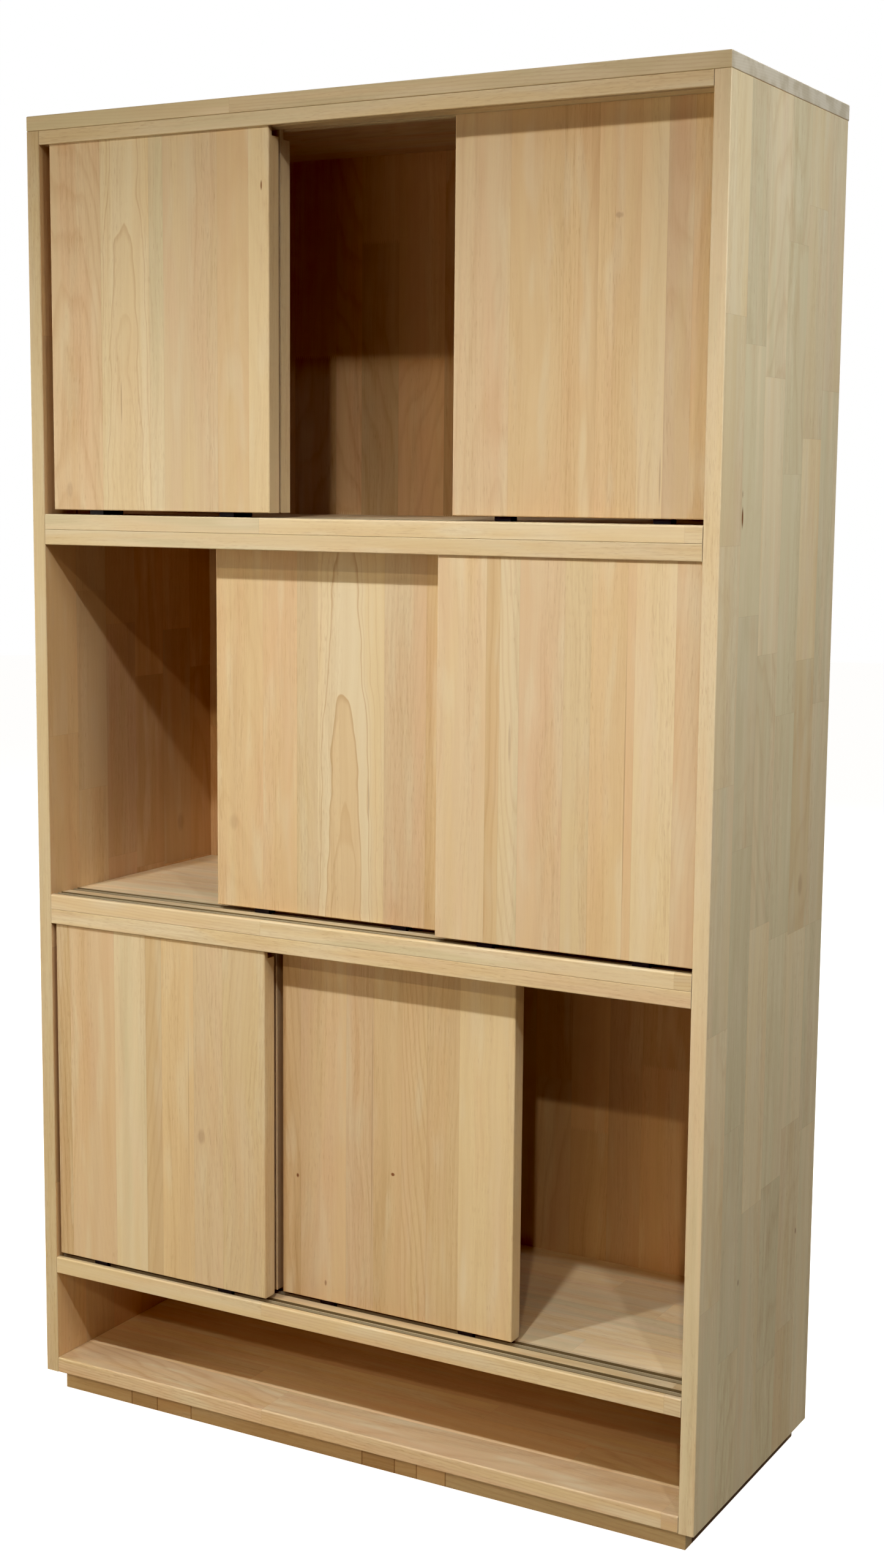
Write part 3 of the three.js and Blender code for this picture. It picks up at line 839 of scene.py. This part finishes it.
def add_lights():
    for name, (x, power) in LAMPS.items():
        add_light(
            name, "SPOT", (x, LAMP_Y, LAMP_Z), LAMP_TARGET, power, LAMP_WHITE,
            spot_size=math.radians(LAMP_CONE), spot_blend=1.0, shadow_soft_size=LAMP_RADIUS,
        )
    for name, (place, target, power, colour) in SIDE_LAMPS.items():
        add_light(
            name, "SPOT", place, target, power, colour,
            spot_size=math.radians(SIDE_LAMP_CONE), spot_blend=1.0, shadow_soft_size=SIDE_LAMP_RADIUS,
        )
    add_light(
        "far_lamp", "SUN", FAR_LAMP_PLACE, (0.0, 0.0, 0.0), FAR_LAMP_POWER, FAR_LAMP_WHITE,
        angle=math.radians(FAR_LAMP_WIDTH),
    )
    for name, (place, target, power, size, colour) in SOFT_LIGHTS.items():
        light = add_light(name, "AREA", place, target, power, colour, shape="SQUARE", size=size)
        # The one behind would glare on the top board, seen from the front
        light.visible_glossy = name != "back_softbox"
    room = bpy.data.worlds.new("studio")
    room.use_nodes = True
    background = room.node_tree.nodes["Background"]
    background.inputs["Color"].default_value = (*ROOM_COLOUR, 1.0)
    background.inputs["Strength"].default_value = ROOM_LIGHT
    bpy.context.scene.world = room


def grade_picture():
    """Prints the picture as the photograph is printed: firm contrast and deep shadows."""
    view = bpy.context.scene.view_settings
    view.view_transform = "Standard"
    view.gamma = PICTURE_GAMMA
    view.use_curve_mapping = True
    view.curve_mapping.black_level = BLACK_LEVEL
    view.curve_mapping.update()


def stage_paint(name, base, glow):
    """A pale paint that is a little uneven, and that glows where it stands for an overexposed surface."""
    made = Shader(name)
    place = made.node("TexCoord").outputs["Object"]
    speckle = made.noise(made.scale(place, PAINT_CHANGES), 3.0)
    darker = [PAINT_DARKEST * part for part in base]
    made.feed(made.surface.inputs["Base Color"], made.mix(speckle, (*darker, 1.0), (*base, 1.0)))
    made.surface.inputs["Roughness"].default_value = PAINT_ROUGHNESS
    made.surface.inputs["Specular IOR Level"].default_value = PAINT_GLOSS
    made.surface.inputs["Emission Color"].default_value = (1.0, 1.0, 1.0, 1.0)
    made.surface.inputs["Emission Strength"].default_value = glow
    return made.material


def add_stage_piece(name, shape, base, glow):
    """Makes a stage object from a bmesh. A glowing one is only seen, and lights and shades nothing."""
    mesh = bpy.data.meshes.new(name)
    shape.to_mesh(mesh)
    shape.free()
    mesh.materials.append(stage_paint(name + "_paint", base, glow))
    made = bpy.data.objects.new(name, mesh)
    bpy.context.scene.collection.objects.link(made)
    made.visible_camera = glow > 0
    made.visible_diffuse = glow == 0
    made.visible_glossy = glow == 0
    made.visible_transmission = glow == 0
    made.visible_shadow = glow == 0


def add_stage():
    """A pale floor and a white backdrop. The floor that the camera sees is overexposed and lights nothing."""
    for name, (base, glow, height) in FLOORS.items():
        disc = bmesh.new()
        bmesh.ops.create_circle(disc, cap_ends=True, segments=96, radius=FLOOR_RADIUS)
        bmesh.ops.translate(disc, verts=disc.verts, vec=(0.0, 0.0, height))
        add_stage_piece(name, disc, base, glow)
    sphere = bmesh.new()
    bmesh.ops.create_uvsphere(sphere, u_segments=64, v_segments=32, radius=BACKDROP_RADIUS)
    add_stage_piece("backdrop", sphere, (0.0,) * 3, BACKDROP_GLOW)


dress_case()
dress_doors()
dress_tracks()
ease_wood()
add_camera()
add_lights()
add_stage()
grade_picture()
